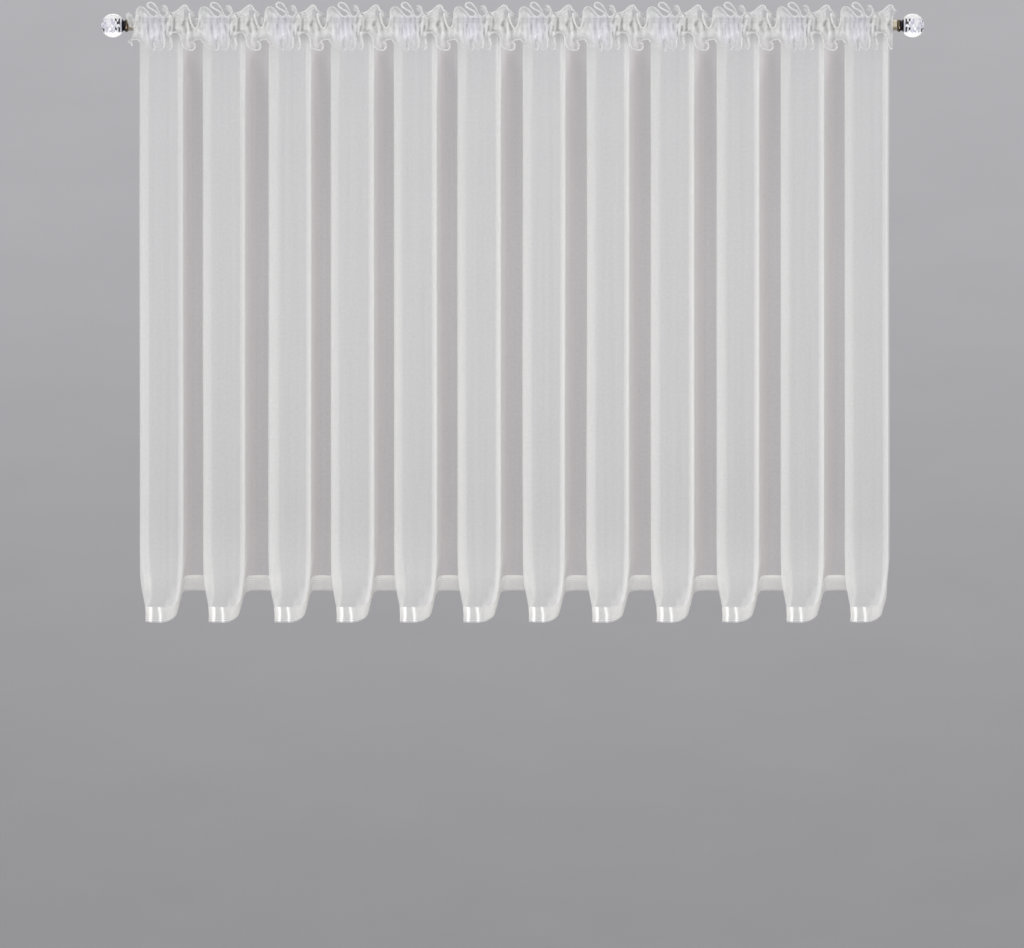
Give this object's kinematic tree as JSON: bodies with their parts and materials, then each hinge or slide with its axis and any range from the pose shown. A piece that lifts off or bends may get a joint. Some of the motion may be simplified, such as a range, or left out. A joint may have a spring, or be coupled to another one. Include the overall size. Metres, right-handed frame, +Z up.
{
  "type": "sheer curtain on a rod",
  "caption": "Sheer voile curtain gathered in even upright folds on a plain rod, with a ruffled heading, a turned-up hem and a faceted crystal ball at each rod end.",
  "frame": {"origin": "on the rod's axis, halfway along the rod", "axes": "+Z up, +X along the rod to the right as seen from the room, -Y toward the room"},
  "size_m": [2.0176, 0.1473, 1.5854],
  "materials": {
    "voile": "sheer plain-weave voile",
    "heading_cloth": "gathered voile with satin edges",
    "rod_metal": "pale satin",
    "collar_metal": "dark polished",
    "crystal": "faceted clear"
  },
  "bodies": {
    "root": {"panel": "voile", "heading": "heading_cloth", "rod": "rod_metal", "collar_left": "collar_metal", "collar_right": "collar_metal", "finial_left": "crystal", "finial_right": "crystal"}
  },
  "joints": []
}
